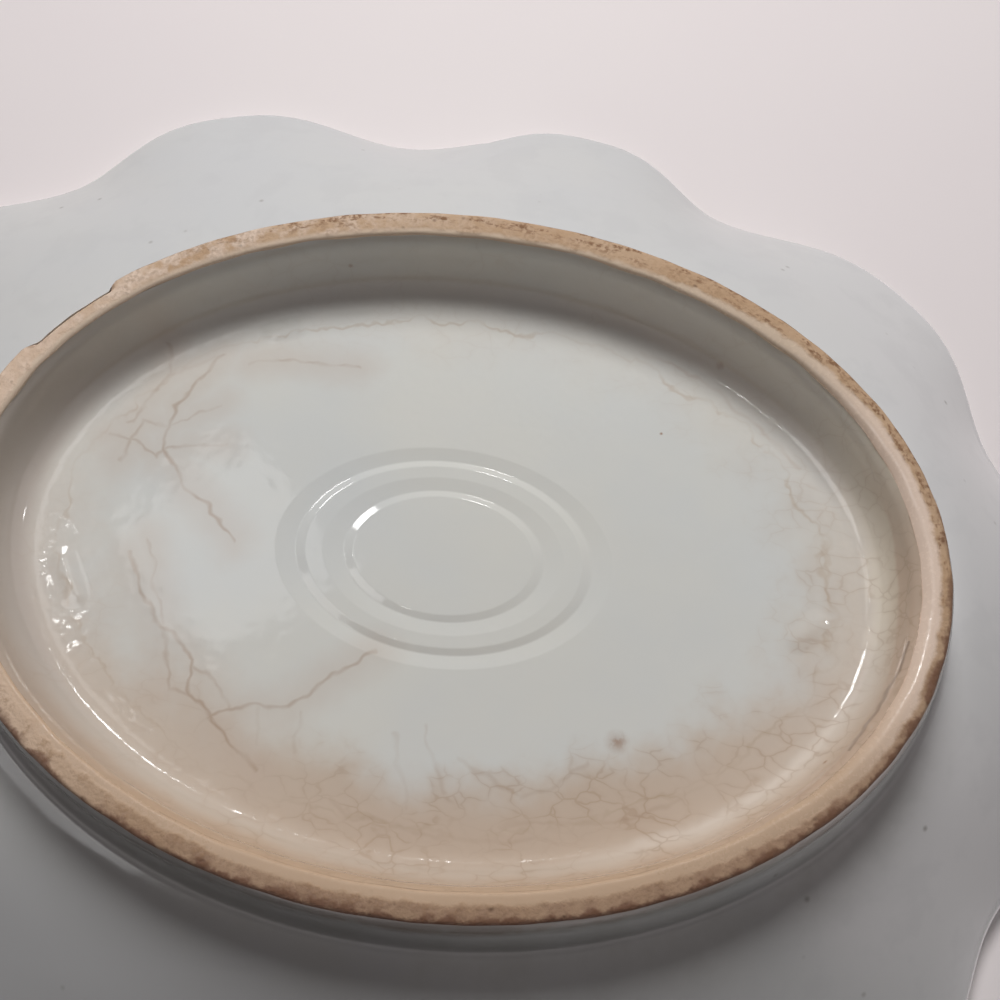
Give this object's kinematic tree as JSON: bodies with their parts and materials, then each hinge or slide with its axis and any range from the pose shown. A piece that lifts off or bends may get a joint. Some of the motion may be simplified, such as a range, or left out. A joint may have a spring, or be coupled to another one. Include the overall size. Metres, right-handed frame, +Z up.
{
  "type": "shell dish",
  "caption": "Shallow shell-shaped stone-china dish with a scalloped rim, standing on an oval foot ring with a bare ground edge; glazed inside, outside and in the recess.",
  "frame": {"origin": "on the table under the middle of the dish, where its box is centred", "axes": "+Z up out of the bowl, +X along the foot's long axis to the front lobe, +Y across"},
  "size_m": [0.2408, 0.202, 0.039],
  "materials": {
    "fired_clay": "matt fired clay, hidden under the glaze",
    "bare_foot_clay": "ground, unglazed and stained tan to brown",
    "wall_glaze": "clear gloss over white clay",
    "recess_glaze": "clear gloss, crazed and stained tan near the foot",
    "bowl_glaze": "clear gloss over white clay"
  },
  "bodies": {
    "root": {"dish_body": "fired_clay", "foot_ring": "bare_foot_clay", "wall_glaze": "wall_glaze", "recess_glaze": "recess_glaze", "bowl_glaze": "bowl_glaze"}
  },
  "joints": []
}
